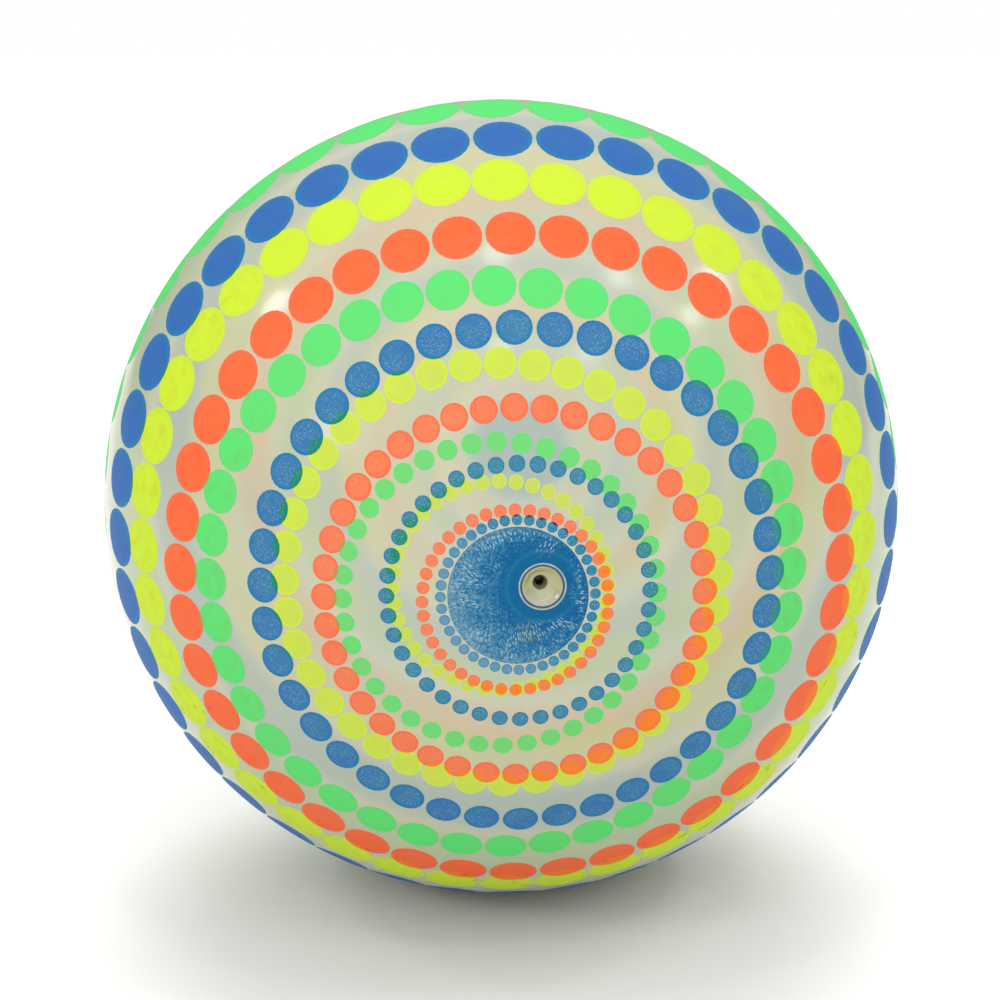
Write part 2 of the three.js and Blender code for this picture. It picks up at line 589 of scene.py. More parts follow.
@dataclass(frozen=True)
class CapFinish:
    """The blue cap: mottled, thinner away from the valve, with bare flecks, a smudge, and a painted shade
    of the seat's flange behind the skin with a painted highlight on its rim.

    The edge and the dashes' reach are in cap radii. Other spans are distances from the valve's axis, or the
    ends of a ramp over a noise or over the ink's thinness.
    """

    stops: tuple[tuple[float, Colour], ...] = (
        (0.0, srgb(6, 93, 148)),
        (0.25, srgb(16, 103, 154)),
        (0.5, srgb(44, 119, 160)),
        (0.75, srgb(76, 134, 166)),
        (1.0, srgb(108, 153, 174)),
    )
    edge: Span = (1.02, 1.01)
    thin_from: float = 8.5 * MM
    thin_over: float = 12.5 * MM
    thin_share: float = 0.8
    cloud: Mottle = Mottle(5 * MM, 3)
    cloud_share: float = 0.5
    mottle: Mottle = Mottle(0.6 * MM, 2)
    mottle_share: float = 1.7
    # Painted shade of the seat's flange behind the skin, with a painted highlight round its rim
    flange_shade_colour: Colour = srgb(12, 106, 148)
    flange_shade: Span = (9.8 * MM, 8.2 * MM)
    flange_shade_share: float = 0.5
    flange_rim_highlight_colour: Colour = srgb(44, 138, 166)
    flange_rim_highlight: Span = (7.9 * MM, 8.9 * MM)
    flange_rim_highlight_share: float = 0.4
    flange_shade_cover: float = 0.8
    smudge_colour: Colour = srgb(104, 112, 92)
    smudge_place: tuple[float, float] = (-3.6 * MM, -11.6 * MM)
    smudge_reach: Span = (4.2 * MM, 0.6 * MM)
    smudge: Mottle = Mottle(1.6 * MM, 3, (0.35, 0.7))
    smudge_share: float = 0.7
    fleck_colour: Colour = srgb(168, 200, 206)
    screen_pitch: float = 0.62 * MM
    screen: Span = (0.42, 0.22)
    screen_thin: Span = (-0.2, 0.9)
    screen_share: float = 0.35
    dash_round_scale: float = 22
    dash_polar_scale: float = 68
    dash: Span = (0.34, 0.2)
    dash_patches: Mottle = Mottle(5 * MM, 3, (0.44, 0.58))
    dash_inner: Span = (0.25, 0.6)
    dash_outer: Span = (0.99, 0.9)
    dash_share: float = 0.7

    def over(self, mask: MaskField, colour: Field) -> Field:
        """Put the cap's colour inside its edge.

        Args:
            mask: The blue ink's mask.
            colour: The colour of the dots outside it.

        Returns:
            The colour of cap and dots.
        """
        edge = LAYOUT.cap_edge()
        inside = mask.polar().ramp(edge * self.edge[0], edge * self.edge[1])
        return mask.graph.mix(inside, colour, self.colour(mask))

    def colour(self, mask: MaskField) -> Field:
        """Give the cap's colour.

        Args:
            mask: The blue ink's mask.

        Returns:
            The colour.
        """
        graph, place = mask.graph, mask.place
        from_valve = graph.from_valve(place)
        thin = (from_valve - self.thin_from) / self.thin_over
        cloud = self.cloud.swing(place) * self.cloud_share
        mottle = self.mottle.swing(place) * self.mottle_share
        shade = thin * self.thin_share + cloud + mottle
        base = graph.node("ValToRGB", {"stops": self.stops}, {"Fac": shade}, "Color")
        outside_flange_shade: Number = 1.0
        # Near the valve: painted shade of the seat's flange behind the skin, a painted highlight on its
        # rim, and fewer flecks there
        if mask.side is Side.VALVE:
            flange_shade = from_valve.ramp(*self.flange_shade)
            rim = flange_shade * from_valve.ramp(*self.flange_rim_highlight)
            base = graph.mix(flange_shade * self.flange_shade_share, base, self.flange_shade_colour)
            base = graph.mix(rim * self.flange_rim_highlight_share, base, self.flange_rim_highlight_colour)
            smudge = graph.from_valve(place, self.smudge_place).ramp(*self.smudge_reach)
            smudge = smudge * self.smudge.patches(place)
            base = graph.mix(smudge * self.smudge_share, base, self.smudge_colour)
            outside_flange_shade = 1 - flange_shade * self.flange_shade_cover
        screen = self.screen_dots(place) * thin.ramp(*self.screen_thin) * outside_flange_shade
        base = graph.mix(screen * self.screen_share, base, self.fleck_colour)
        dashes = self.dashes(mask) * outside_flange_shade
        return graph.mix(dashes * self.dash_share, base, self.fleck_colour)

    def screen_dots(self, place: Field) -> Field:
        """Give the fine dots that the ink left bare."""
        values = {"Vector": place, "Scale": 1 / self.screen_pitch}
        return place.graph.node("TexVoronoi", None, values, "Distance").ramp(*self.screen)

    def dashes(self, mask: MaskField) -> Field:
        """Give the short bare strokes that point away from the mask's pole.

        Args:
            mask: The blue ink's mask.

        Returns:
            1 on the strokes and 0 off them.
        """
        edge = LAYOUT.cap_edge()
        polar = mask.polar()
        values = {"Vector": mask.streaks(self.dash_round_scale, self.dash_polar_scale), "Scale": 1.0}
        strokes = mask.graph.node("TexVoronoi", {"voronoi_dimensions": "2D"}, values, "Distance")
        inner = polar.ramp(edge * self.dash_inner[0], edge * self.dash_inner[1])
        outer = polar.ramp(edge * self.dash_outer[0], edge * self.dash_outer[1])
        return strokes.ramp(*self.dash) * self.dash_patches.patches(mask.place) * inner * outer


@dataclass(frozen=True)
class InkFinish:
    """A sprayed ink: its colours, grain and stains, and its colour over the inks below it.

    The fields with values are the same for all inks. Their spans are the ends of ramps over the angle from
    the mask's pole (polar), over a dot's spread, or over the reach to either side.
    """

    ink: Ink
    pole_colour: Colour
    colour: Colour
    rim: Colour
    grain_colour: Colour
    grain: float
    stain_colour: Colour
    stain: float
    over: dict[Ink, Colour]
    deepening_polar: Span = (0.15, 1.0)
    drift: Mottle = Mottle(9 * MM, 3)
    drift_share: float = 0.9
    stains: Mottle = Mottle(4 * MM, 4, (0.42, 0.8))
    stains_polar: Span = (0.25, 0.8)
    stains_sideways: Span = (0.25, 0.75)
    rim_spread: Span = (0.76, 0.93)
    rim_share: float = 0.8
    over_share: float = 0.92
    speckle: Mottle = Mottle(0.36 * MM, 1, (0.5, 0.66))
    speckle_patches: Mottle = Mottle(5 * MM, 2, (0.2, 0.6))
    speckle_spread: Span = (0.92, 0.7)
    speckle_polar: Span = (0.88, 0.6)
    relief: float = 0.02 * MM
    relief_strength: float = 0.4
    roughness: float = 0.55
    specular: float = 0.1

    def material(self, side: Side) -> bpy.types.Material:
        """Make the ink's material for one half of the ball.

        Args:
            side: The half, whose masks the overprints follow.

        Returns:
            The material.
        """
        material, graph = new_graph(f"{self.ink.value}_ink_{side.name.lower()}")
        place = graph.place()
        mask = MaskField(graph, side, self.ink, place)
        polar, spread = mask.polar(), mask.spread()
        drift = self.drift.swing(place) * self.drift_share
        colour = graph.mix(polar.ramp(*self.deepening_polar) + drift, self.pole_colour, self.colour)
        stained = self.stains.patches(place) * polar.ramp(*self.stains_polar)
        stained = stained * mask.along(0).math("ABSOLUTE").ramp(*self.stains_sideways)
        colour = graph.mix(stained * self.stain, colour, self.stain_colour)
        if self.ink is Ink.BLUE:
            colour = FirstRing().over(mask, colour)
        colour = graph.mix(spread.ramp(*self.rim_spread) * self.rim_share, colour, self.rim)
        for under, mixed in self.over.items():
            cover = MaskField(graph, side, under, place).cover()
            colour = graph.mix(cover * self.over_share, colour, mixed)
        grain = self.speckle.patches(place) * self.speckle_patches.patches(place)
        grain = grain * spread.ramp(*self.speckle_spread) * polar.ramp(*self.speckle_polar)
        colour = graph.mix(grain * self.grain, colour, self.grain_colour)
        colour = Scuffs().over(mask, colour)
        if self.ink is Ink.BLUE:
            colour = CapFinish().over(mask, colour)
        graph.surface({
            "Base Color": colour,
            "Roughness": self.roughness,
            "Specular IOR Level": self.specular,
            "Normal": graph.bump(self.speckle.noise(place), self.relief, self.relief_strength),
        })
        return material


INKS: dict[Ink, InkFinish] = {
    Ink.YELLOW: InkFinish(
        ink=Ink.YELLOW,
        pole_colour=srgb(202, 216, 92),
        colour=srgb(212, 240, 54),
        rim=srgb(208, 235, 66),
        grain_colour=srgb(224, 240, 120),
        grain=0.25,
        stain_colour=srgb(206, 196, 44),
        stain=0.42,
        over={},
    ),
    Ink.GREEN: InkFinish(
        ink=Ink.GREEN,
        pole_colour=srgb(118, 214, 118),
        colour=srgb(90, 232, 118),
        rim=srgb(108, 222, 122),
        grain_colour=srgb(140, 226, 140),
        grain=0.25,
        stain_colour=srgb(126, 176, 88),
        stain=0.38,
        over={Ink.YELLOW: srgb(120, 222, 70)},
    ),
    Ink.ORANGE: InkFinish(
        ink=Ink.ORANGE,
        pole_colour=srgb(244, 132, 92),
        colour=srgb(255, 108, 60),
        rim=srgb(255, 112, 74),
        grain_colour=srgb(255, 158, 122),
        grain=0.45,
        stain_colour=srgb(255, 128, 74),
        stain=0.4,
        over={Ink.YELLOW: srgb(255, 134, 34), Ink.GREEN: srgb(196, 146, 80)},
    ),
    Ink.BLUE: InkFinish(
        ink=Ink.BLUE,
        pole_colour=srgb(64, 136, 159),
        colour=srgb(50, 108, 184),
        rim=srgb(34, 126, 178),
        grain_colour=srgb(148, 186, 206),
        grain=0.44,
        stain_colour=srgb(40, 120, 160),
        stain=0.4,
        over={
            Ink.YELLOW: srgb(26, 138, 104),
            Ink.GREEN: srgb(48, 142, 134),
            Ink.ORANGE: srgb(56, 42, 96),
        },
    ),
}
# Tints of the painted show-through light: the far half's inks painted into the skin's colour
SHOW_THROUGH_TINTS: dict[Ink, Colour] = {
    Ink.YELLOW: (0.98, 0.95, 0.64, 1.0),
    Ink.GREEN: (0.76, 0.91, 0.72, 1.0),
    Ink.ORANGE: (1.06, 0.8, 0.68, 1.0),
    Ink.BLUE: (0.66, 0.78, 0.92, 1.0),
}


# Vinyl finishes


@dataclass(frozen=True)
class MilkyVinyl:
    """The skin: soft, glossy vinyl, with the print of the other half painted on as light showing through
    it.

    The painted show-through follows lines that fan out from a fixed point in front of each half.
    """

    colour: Colour = srgb(207, 206, 178)
    cloud_colour: Colour = srgb(200, 205, 184)
    cloud: Mottle = Mottle(30 * MM, 3, (0.35, 0.7))
    sprayed_colour: Colour = srgb(140, 168, 170)
    sprayed_reach: Span = (6.4 * MM, 6.0 * MM)
    sprayed: Mottle = Mottle(1.5 * MM, 2, (0.3, 0.6))
    sprayed_share: float = 0.6
    ripple: Mottle = Mottle(7 * MM, 2)
    ripple_roughness: float = 0.04
    ripple_height: float = 0.15 * MM
    ripple_strength: float = 0.35
    roughness: float = 0.14
    specular: float = 0.27
    fan_azimuth: float = -5.1
    fan_elevation: float = 11.3
    fan_distance: float = 0.68
    fan_edge: Span = (0.02, 0.3)

    def glow(self, graph: Graph, place: Field, colour: Field) -> Field:
        """Paint onto the skin the light that the inks of the half behind it let show through.

        Args:
            graph: The material's graph.
            place: The place on the skin.
            colour: The bare skin's colour.

        Returns:
            The colour with the painted show-through.
        """
        way = toward(self.fan_azimuth, self.fan_elevation)
        facing = graph.dot(graph.vector("NORMALIZE", place), way)
        for behind, sign in ((Side.FAR, 1), (Side.VALVE, -1)):
            fan_point = way * (sign * self.fan_distance)
            ray = graph.vector("NORMALIZE", graph.vector("SUBTRACT", place, fan_point))
            across = graph.vector("REFLECT", place, ray)
            shown = facing.ramp(self.fan_edge[0] * sign, self.fan_edge[1] * sign)
            # painted show-through light, one tint for each ink of the half behind
            for ink, tint in SHOW_THROUGH_TINTS.items():
                painted_show_through = MaskField(graph, behind, ink, across).painted_show_through()
                colour = graph.mix(painted_show_through * shown, colour, tint, "MULTIPLY")
        return colour

    def material(self) -> bpy.types.Material:
        """Make the skin's material.

        Returns:
            The material.
        """
        material, graph = new_graph("milky_vinyl")
        place = graph.place()
        ripple = self.ripple.noise(place)
        bare = graph.mix(self.cloud.patches(place), self.colour, self.cloud_colour)
        # painted show-through light of the other half's print
        bare = self.glow(graph, place, bare)
        sprayed = graph.from_valve(place).ramp(*self.sprayed_reach) * self.sprayed.patches(place)
        graph.surface({
            "Base Color": graph.mix(sprayed * self.sprayed_share, bare, self.sprayed_colour),
            "Roughness": ripple * self.ripple_roughness + self.roughness,
            "Specular IOR Level": self.specular,
            "Normal": graph.bump(ripple, self.ripple_height, self.ripple_strength),
        })
        return material


@dataclass(frozen=True)
class PlugVinyl:
    """The plug: creamy, glossy vinyl, with painted shade darker towards its top, darker round its needle
    hole, and painted shade near-black inside it.
    """

    colour: Colour = srgb(184, 182, 154)
    # Painted shade, darker towards the top
    painted_top_shade: Colour = srgb(172, 170, 114)
    painted_shade_height: float = 6 * MM
    painted_shade_span: Span = (-0.3, 0.7)
    # Darker round the needle hole
    round_hole_darkening: Colour = srgb(112, 108, 84)
    round_hole_darkening_reach: Span = (2.15 * MM, 1.5 * MM)
    round_hole_darkening_share: float = 0.8
    # Painted shade: near-black inside the needle hole
    hole: Colour = srgb(14, 10, 8)
    painted_hole_shade_reach: Span = (1.06 * MM, 0.98 * MM)
    wear_and_shade_mottle: Mottle = Mottle(2.5 * MM, 3)
    shade_mottle_share: float = 0.8
    wear_roughness: float = 0.1
    grain: Mottle = Mottle(0.5 * MM, 2)
    grain_height: float = 0.02 * MM
    grain_strength: float = 0.5
    roughness: float = 0.2
    subsurface: float = 0.1
    subsurface_depth: float = 1 * MM
    coat: float = 1.0
    coat_roughness: float = 0.05

    def material(self, hole_place: tuple[float, float]) -> bpy.types.Material:
        """Make the plug's material.

        Args:
            hole_place: Where the needle's hole sits, to the right of the axis and up.

        Returns:
            The material.
        """
        material, graph = new_graph("plug_vinyl")
        place = graph.place()
        from_hole = graph.from_valve(place, hole_place)
        wear_and_shade_noise = self.wear_and_shade_mottle.noise(place)
        # Painted shade: darker towards the top, its edge broken by the same noise that varies the roughness
        painted_shade_rise = graph.dot(place, UP) / self.painted_shade_height + wear_and_shade_noise * self.shade_mottle_share
        colour = graph.mix(painted_shade_rise.ramp(*self.painted_shade_span), self.colour, self.painted_top_shade)
        # Darker round the needle hole, and painted shade near-black inside it
        colour = graph.mix(from_hole.ramp(*self.round_hole_darkening_reach) * self.round_hole_darkening_share, colour, self.round_hole_darkening)
        colour = graph.mix(from_hole.ramp(*self.painted_hole_shade_reach), colour, self.hole)
        grain = self.grain.noise(place)
        graph.surface({
            "Base Color": colour,
            "Roughness": wear_and_shade_noise * self.wear_roughness + self.roughness,
            "Subsurface Weight": self.subsurface,
            "Subsurface Scale": self.subsurface_depth,
            "Coat Weight": self.coat,
            "Coat Roughness": self.coat_roughness,
            "Normal": graph.bump(grain, self.grain_height, self.grain_strength),
        })
        return material


@dataclass(frozen=True)
class SeatVinyl:
    """The seat: the skin's vinyl, with the cap's ink on its lip."""

    colour: Colour = srgb(206, 204, 178)
    ink: Colour = srgb(24, 92, 160)
    inked_depth: float = 0.768 * MM
    inked_over: float = 0.2 * MM
    streak: Mottle = Mottle(1.2 * MM, 2)
    streak_height: float = 0.3 * MM
    streak_roughness: float = 0.1
    relief: float = 0.02 * MM
    relief_strength: float = 0.5
    roughness: float = 0.32

    def material(self, lip_face: float) -> bpy.types.Material:
        """Make the seat's material.

        Args:
            lip_face: The height of the lip's face towards the mouth.

        Returns:
            The material.
        """
        material, graph = new_graph("seat_vinyl")
        place = graph.place()
        streak = self.streak.noise(place)
        height = graph.dot(place, TO_MOUTH) + (streak - 0.5) * self.streak_height
        inked_from = lip_face - self.inked_depth
        inked = height.ramp(inked_from, inked_from + self.inked_over)
        graph.surface({
            "Base Color": graph.mix(inked, self.colour, self.ink),
            "Roughness": streak * self.streak_roughness + self.roughness,
            "Normal": graph.bump(streak, self.relief, self.relief_strength),
        })
        return material


# Modelling by hand


def start_piece(name: str) -> bpy.types.Object:
    """Begin an empty mesh piece at the origin and go into edit mode on it.

    Args:
        name: The piece's name.

    Returns:
        The piece.
    """
    bpy.ops.object.select_all(action="DESELECT")
    bpy.ops.mesh.primitive_plane_add(size=MM)
    piece = bpy.context.object
    piece.name = piece.data.name = name
    bpy.ops.object.mode_set(mode="EDIT")
    bpy.ops.mesh.select_all(action="SELECT")
    bpy.ops.mesh.delete(type="VERT")
    return piece


def apply_modifier(piece: bpy.types.Object, kind: str, **settings: object) -> None:
    """Put a modifier on a piece and apply it.

    Args:
        piece: The piece, in object mode.
        kind: The modifier's type.
        settings: The modifier's settings.
    """
    modifier = piece.modifiers.new(kind.title(), kind)
    for name, value in settings.items():
        setattr(modifier, name, value)
    bpy.context.view_layer.objects.active = piece
    bpy.ops.object.modifier_apply(modifier=modifier.name)


def finish_piece(piece: bpy.types.Object) -> None:
    """Merge a mesh's doubles, turn its faces out and smooth it, from edit mode.

    Args:
        piece: The piece being edited.
    """
    bpy.ops.mesh.select_all(action="SELECT")
    bpy.ops.mesh.remove_doubles(threshold=MERGE_DISTANCE)
    bpy.ops.mesh.normals_make_consistent(inside=False)
    bpy.ops.object.mode_set(mode="OBJECT")
    bpy.ops.object.select_all(action="DESELECT")
    piece.select_set(True)
    bpy.context.view_layer.objects.active = piece
    bpy.ops.object.shade_smooth_by_angle(angle=SMOOTH_ANGLE)


def turn_piece(name: str, profile: Profile, steps: int) -> bpy.types.Object:
    """Turn a profile about the valve's axis, as on a lathe.

    Args:
        name: The piece's name.
        profile: Distances from the axis and heights towards the valve's mouth, in metres.
        steps: Facets round the axis.

    Returns:
        The turned piece.
    """
    stations = [Vector((distance, -height, 0)) for distance, height in profile]
    piece = start_piece(name)
    bpy.ops.mesh.primitive_plane_add(size=MM, location=stations[0])
    bpy.ops.mesh.merge(type="CENTER")
    for here, there in zip(stations, stations[1:]):
        bpy.ops.mesh.extrude_vertices_move(TRANSFORM_OT_translate={"value": there - here})
    bpy.ops.mesh.select_all(action="SELECT")
    bpy.ops.mesh.spin(steps=steps, angle=FULL_TURN, center=(0, 0, 0), axis=(0, 1, 0))
    finish_piece(piece)
    return piece


def arc(radius: float, start: float, end: float, steps: int) -> Profile:
    """Give the profile points of an arc about the ball's centre.

    Args:
        radius: The arc's radius.
        start: Its first angle from the valve's axis, in radians.
        end: Its last angle.
        steps: The number of steps between them.

    Returns:
        Distances from the axis and heights.
    """
    turns = [start + (end - start) * step / steps for step in range(steps + 1)]
    return [(radius * math.sin(turn), radius * math.cos(turn)) for turn in turns]


def settle(piece: bpy.types.Object, material: bpy.types.Material, body: str) -> None:
    """Give a piece its material, its body and its slot, and report it.

    Args:
        piece: The finished piece.
        material: Its material.
        body: The body that it rides on.
    """
    piece.data.materials.clear()
    piece.data.materials.append(material)
    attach(piece, body)
    log.info("%s: %d faces, rides on %s", piece.name, len(piece.data.polygons), body)


# Sub-assemblies


@dataclass
class Skin:
    """The hollow skin, with a bead round its valve hole."""

    radius: float
    wall: float = SKIN_WALL
    hole_radius: float = HOLE_RADIUS
    bead_width: float = BEAD_WIDTH
    bead_height: float = 0.12 * MM
    bead_fullness: float = 0.6
    bead_steps: int = 6
    arc_steps: int = 128
    facets: int = 192

    def profile(self) -> Profile:
        """Draw the wall's closed section.

        Returns:
            The outside, the bead, the hole's edge and the inside.
        """
        inside = self.radius - self.wall
        foot = self.hole_radius + self.bead_width
        outer = arc(self.radius, math.pi, math.asin(foot / self.radius), self.arc_steps)
        inner = arc(inside, math.asin(self.hole_radius / inside), math.pi, self.arc_steps)
        outer[0] = (0.0, -self.radius)
        inner[-1] = (0.0, -inside)
        return outer + self.bead(outer[-1]) + inner

    def bead(self, foot: tuple[float, float]) -> Profile:
        """Draw the bead's round back.

        Args:
            foot: Where it starts on the outside of the skin.

        Returns:
            Its points, from past its foot to the edge of the hole.
        """
        edge_height = math.sqrt(self.radius**2 - self.hole_radius**2)
        points = []
        for step in range(1, self.bead_steps + 1):
            share = step / self.bead_steps
            distance = foot[0] - self.bead_width * share
            base = foot[1] + (edge_height - foot[1]) * share
            rise = self.bead_height * math.sin(math.pi * share) ** self.bead_fullness
            points.append((distance, base + rise))
        return points

    def build(self) -> None:
        """Turn the skin and dress it."""
        piece = turn_piece("skin", self.profile(), self.facets)
        settle(piece, MilkyVinyl().material(), BALL_BODY)
        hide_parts("ball_skin")


@dataclass
class Valve:
    """The seat behind the skin's hole, and the plug that closes it."""

    ball_radius: float
    skin_wall: float = SKIN_WALL
    hole_radius: float = HOLE_RADIUS
    head_radius: float = 5.0 * MM
    head_edge: float = 1.3 * MM
    head_crown: float = 0.3 * MM
    head_recess: float = 0.15 * MM
    rim_radius: float = 4.65 * MM
    rim_steps: int = 4
    dish: float = 1.35 * MM
    dish_steps: int = 8
    stem_length: float = 11 * MM
    stem_top: float = 3.6 * MM
    stem_tip: float = 3.3 * MM
    tip_chamfer: float = 0.8 * MM
    needle_radius: float = 1.0 * MM
    needle_web: float = 3 * MM
    needle_slip: tuple[float, float] = (-0.5 * MM, 0.8 * MM)
    funnel_radius: float = 1.85 * MM
    funnel_depth: float = 3.2 * MM
    funnel_lip_width: float = 0.1 * MM
    funnel_lip_depth: float = 0.2 * MM
    recess_radius: float = 5.08 * MM
    lip_radius: float = 5.4 * MM
    lip_bevel_width: float = 0.1 * MM
    lip_bevel_depth: float = 0.06 * MM
    flange_radius: float = 9.15 * MM
    flange_thickness: float = 1.6 * MM
    flange_fillet: float = 1.2 * MM
    flange_steps: int = 4
    tube_radius: float = 5.95 * MM
    tube_tail: float = 1.5 * MM
    stem_clearance: float = 0.15 * MM
    seat_clearance: float = 0.1 * MM
    bond_gap: float = 0.3 * MM
    facets: int = 96

    def __post_init__(self) -> None:
        """Work out the heights towards the mouth."""
        self.lip_face = math.sqrt(self.ball_radius**2 - self.hole_radius**2)
        self.edge = self.lip_face - self.head_recess
        self.land = self.edge + self.head_crown
        self.underside = self.edge - self.head_edge
        self.tip = self.underside - self.stem_length

    def plug_profile(self) -> Profile:
        """Draw the plug's section.

        Returns:
            Its points, from the bottom of the needle's hole, over the head, to the tip.
        """
        mouth = self.land - self.dish
        flare = self.rim_radius - self.funnel_radius
        bowl = []
        for step in range(self.dish_steps + 1):
            share = step / self.dish_steps
            bowl.append((self.funnel_radius + flare * share, mouth + self.dish * share**2))
        rim_width = self.head_radius - self.rim_radius
        rim = []
        for step in range(1, self.rim_steps + 1):
            turn = math.pi / 2 * step / self.rim_steps
            drop = rim_width * (1 - math.cos(turn))
            rim.append((self.rim_radius + rim_width * math.sin(turn), self.land - drop))
        return [
            (0.0, self.tip + self.needle_web),
            (self.needle_radius, self.tip + self.needle_web),
            (self.needle_radius, self.land - self.funnel_depth),
            (self.funnel_radius - self.funnel_lip_width, mouth - self.funnel_lip_depth),
            *bowl,
            *rim,
            (self.head_radius, self.underside),
            (self.stem_top, self.underside),
            (self.stem_tip, self.tip + self.tip_chamfer),
            (self.stem_tip - self.tip_chamfer, self.tip),
            (0.0, self.tip),
        ]

    def slip_needle_hole(self, plug: bpy.types.Object) -> None:
        """Move the needle's hole off the axis, and let the dish round it give way smoothly.

        Args:
            plug: The turned plug.
        """
        bpy.ops.object.mode_set(mode="EDIT")
        bpy.ops.mesh.select_mode(type="VERT")
        bpy.ops.mesh.select_all(action="DESELECT")
        bpy.ops.object.mode_set(mode="OBJECT")
        for vertex in plug.data.vertices:
            inside = math.hypot(vertex.co.x, vertex.co.z) < self.funnel_radius + PICK_TOLERANCE
            vertex.select = inside and -vertex.co.y > self.tip + self.needle_web / 2
        bpy.ops.object.mode_set(mode="EDIT")
        bpy.ops.transform.translate(
            value=(self.needle_slip[0], 0, self.needle_slip[1]),
            use_proportional_edit=True,
            use_proportional_connected=True,
            proportional_edit_falloff="SMOOTH",
            proportional_size=self.rim_radius - self.funnel_radius,
        )
        bpy.ops.object.mode_set(mode="OBJECT")

    def seat_profile(self) -> Profile:
        """Draw the seat's section.

        Returns:
            Its points: lip, flange behind the skin, tube, bore and recess.
        """
        bond = self.ball_radius - self.skin_wall - self.bond_gap
        floor = self.underside - self.seat_clearance
        flange_edge = math.asin(self.flange_radius / bond)
        back = min(bond * math.cos(flange_edge), floor) - self.flange_thickness
        end = self.tip - self.tube_tail
        bore_top = self.stem_top + self.stem_clearance
        bore_tip = self.stem_tip + self.stem_clearance
        bevel_foot = self.lip_face - self.lip_bevel_depth
        return [
            (self.recess_radius, bevel_foot),
            (self.recess_radius + self.lip_bevel_width, self.lip_face),
            (self.lip_radius - self.lip_bevel_width, self.lip_face),
            (self.lip_radius, bevel_foot),
            *arc(bond, math.asin(self.lip_radius / bond), flange_edge, self.flange_steps),
            (self.flange_radius, back),
            (self.tube_radius + self.flange_fillet, back),
            (self.tube_radius, back - self.flange_fillet),
            (self.tube_radius, end),
            (bore_tip, end),
            (bore_tip, self.tip),
            (bore_top, floor),
            (self.recess_radius, floor),
            (self.recess_radius, bevel_foot),
        ]

    def build(self) -> None:
        """Turn the seat and the plug, and dress them."""
        seat = turn_piece("seat", self.seat_profile(), self.facets)
        settle(seat, SeatVinyl().material(self.lip_face), BALL_BODY)
        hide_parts("valve_seat")
        plug = turn_piece("plug", self.plug_profile(), self.facets)
        self.slip_needle_hole(plug)
        settle(plug, PlugVinyl().material(self.needle_slip), PLUG_BODY)
        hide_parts("valve_plug")


